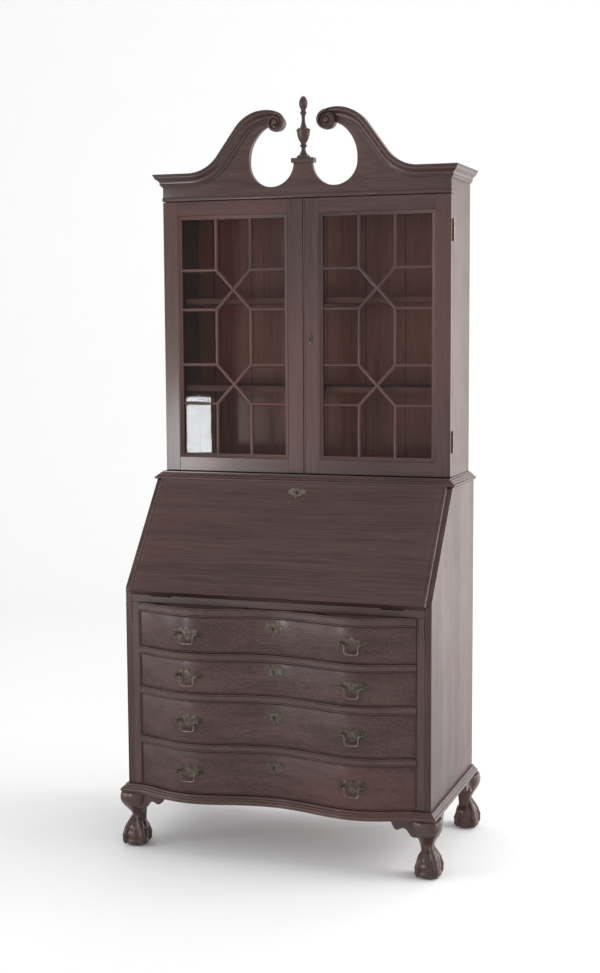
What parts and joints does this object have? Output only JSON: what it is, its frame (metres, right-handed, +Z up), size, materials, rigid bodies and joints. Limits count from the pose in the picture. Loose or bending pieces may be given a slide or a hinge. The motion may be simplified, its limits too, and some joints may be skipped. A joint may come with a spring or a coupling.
{
  "type": "secretary desk",
  "caption": "Slant-front secretary desk: serpentine drawers with brass bail pulls, a fall-front writing lid, a glazed bookcase above, a swan-neck pediment and claw-and-ball feet.",
  "frame": {"origin": "bottom centre of the box round the whole desk, on the floor", "axes": "+Z up; the front with the drawers faces -Y; +X is the right-hand side seen from the front"},
  "size_m": [0.916, 0.5624, 2.083],
  "materials": {
    "mahogany": "satin polish",
    "dark_mahogany": "satin polish",
    "inner_wood": "matt",
    "brass": "aged",
    "glass": "clear"
  },
  "bodies": {
    "cabinet": {"left_side": "mahogany", "right_side": "mahogany", "desk_back": "inner_wood", "bottom_board": "mahogany", "blade_3": "mahogany", "blade_2": "mahogany", "blade_1": "mahogany", "top_rail": "mahogany", "left_post": "mahogany", "right_post": "mahogany", "writing_bed": "mahogany", "desk_top": "mahogany", "base_moulding": "mahogany", "front_left_foot": "mahogany", "front_right_foot": "mahogany", "rear_left_foot": "mahogany", "rear_right_foot": "mahogany", "left_fall_hinge": "brass", "right_fall_hinge": "brass", "pigeonholes": "inner_wood", "waist_moulding": "mahogany", "bookcase_left_side": "mahogany", "bookcase_right_side": "mahogany", "bookcase_back": "dark_mahogany", "bookcase_bottom": "mahogany", "bookcase_top": "mahogany", "lower_shelf": "mahogany", "upper_shelf": "mahogany", "left_door_lower_hinge": "brass", "left_door_upper_hinge": "brass", "right_door_lower_hinge": "brass", "right_door_upper_hinge": "brass", "left_crown": "mahogany", "right_crown": "mahogany", "pediment_board": "mahogany", "finial": "mahogany"},
    "lid": {"fall_front": "dark_mahogany"},
    "door_left": {"left_door_frame": "mahogany", "left_door_glass": "glass"},
    "door_right": {"right_door_frame": "mahogany", "right_door_glass": "glass"},
    "support_left": {"left_loper": "mahogany"},
    "support_right": {"right_loper": "mahogany"},
    "drawer_1": {"drawer_1_front": "mahogany", "drawer_1_box": "inner_wood"},
    "bail_1_left": {"drawer_1_left_bail": "brass"},
    "bail_1_right": {"drawer_1_right_bail": "brass"},
    "drawer_2": {"drawer_2_front": "mahogany", "drawer_2_box": "inner_wood"},
    "bail_2_left": {"drawer_2_left_bail": "brass"},
    "bail_2_right": {"drawer_2_right_bail": "brass"},
    "drawer_3": {"drawer_3_front": "mahogany", "drawer_3_box": "inner_wood"},
    "bail_3_left": {"drawer_3_left_bail": "brass"},
    "bail_3_right": {"drawer_3_right_bail": "brass"},
    "drawer_4": {"drawer_4_front": "mahogany", "drawer_4_box": "inner_wood"},
    "bail_4_left": {"drawer_4_left_bail": "brass"},
    "bail_4_right": {"drawer_4_right_bail": "brass"}
  },
  "joints": [
    {"name": "fall_hinge", "type": "hinge", "parent": "cabinet", "child": "lid", "pos_m": [0, -0.21781, 0.7191], "axis": [1, 0, 0], "range_deg": [0, 128.5]},
    {"name": "door_left_hinge", "type": "hinge", "parent": "cabinet", "child": "door_left", "pos_m": [-0.424, 0.05727, 1.4233], "axis": [0, 0, -1], "range_deg": [0, 115]},
    {"name": "door_right_hinge", "type": "hinge", "parent": "cabinet", "child": "door_right", "pos_m": [0.424, 0.05727, 1.4233], "axis": [0, 0, 1], "range_deg": [0, 115]},
    {"name": "drawer_1_slide", "type": "slide", "parent": "cabinet", "child": "drawer_1", "axis": [0, -1, 0], "range_m": [0, 0.3]},
    {"name": "drawer_2_slide", "type": "slide", "parent": "cabinet", "child": "drawer_2", "axis": [0, -1, 0], "range_m": [0, 0.3]},
    {"name": "drawer_3_slide", "type": "slide", "parent": "cabinet", "child": "drawer_3", "axis": [0, -1, 0], "range_m": [0, 0.3]},
    {"name": "drawer_4_slide", "type": "slide", "parent": "cabinet", "child": "drawer_4", "axis": [0, -1, 0], "range_m": [0, 0.3]},
    {"name": "loper_left_slide", "type": "slide", "parent": "cabinet", "child": "support_left", "axis": [0, -1, 0], "range_m": [0, 0.27]},
    {"name": "loper_right_slide", "type": "slide", "parent": "cabinet", "child": "support_right", "axis": [0, -1, 0], "range_m": [0, 0.27]},
    {"name": "pull_1_left", "type": "hinge", "parent": "drawer_1", "child": "bail_1_left", "pos_m": [-0.23364, -0.27225, 0.62812], "axis": [-1, 0, 0], "range_deg": [0, 85]},
    {"name": "pull_1_right", "type": "hinge", "parent": "drawer_1", "child": "bail_1_right", "pos_m": [0.23364, -0.27225, 0.62812], "axis": [-1, 0, 0], "range_deg": [0, 85]},
    {"name": "pull_2_left", "type": "hinge", "parent": "drawer_2", "child": "bail_2_left", "pos_m": [-0.23364, -0.27225, 0.51187], "axis": [-1, 0, 0], "range_deg": [0, 85]},
    {"name": "pull_2_right", "type": "hinge", "parent": "drawer_2", "child": "bail_2_right", "pos_m": [0.23364, -0.27225, 0.51187], "axis": [-1, 0, 0], "range_deg": [0, 85]},
    {"name": "pull_3_left", "type": "hinge", "parent": "drawer_3", "child": "bail_3_left", "pos_m": [-0.23364, -0.27225, 0.38587], "axis": [-1, 0, 0], "range_deg": [0, 85]},
    {"name": "pull_3_right", "type": "hinge", "parent": "drawer_3", "child": "bail_3_right", "pos_m": [0.23364, -0.27225, 0.38587], "axis": [-1, 0, 0], "range_deg": [0, 85]},
    {"name": "pull_4_left", "type": "hinge", "parent": "drawer_4", "child": "bail_4_left", "pos_m": [-0.23364, -0.27225, 0.24587], "axis": [-1, 0, 0], "range_deg": [0, 85]},
    {"name": "pull_4_right", "type": "hinge", "parent": "drawer_4", "child": "bail_4_right", "pos_m": [0.23364, -0.27225, 0.24587], "axis": [-1, 0, 0], "range_deg": [0, 85]}
  ]
}
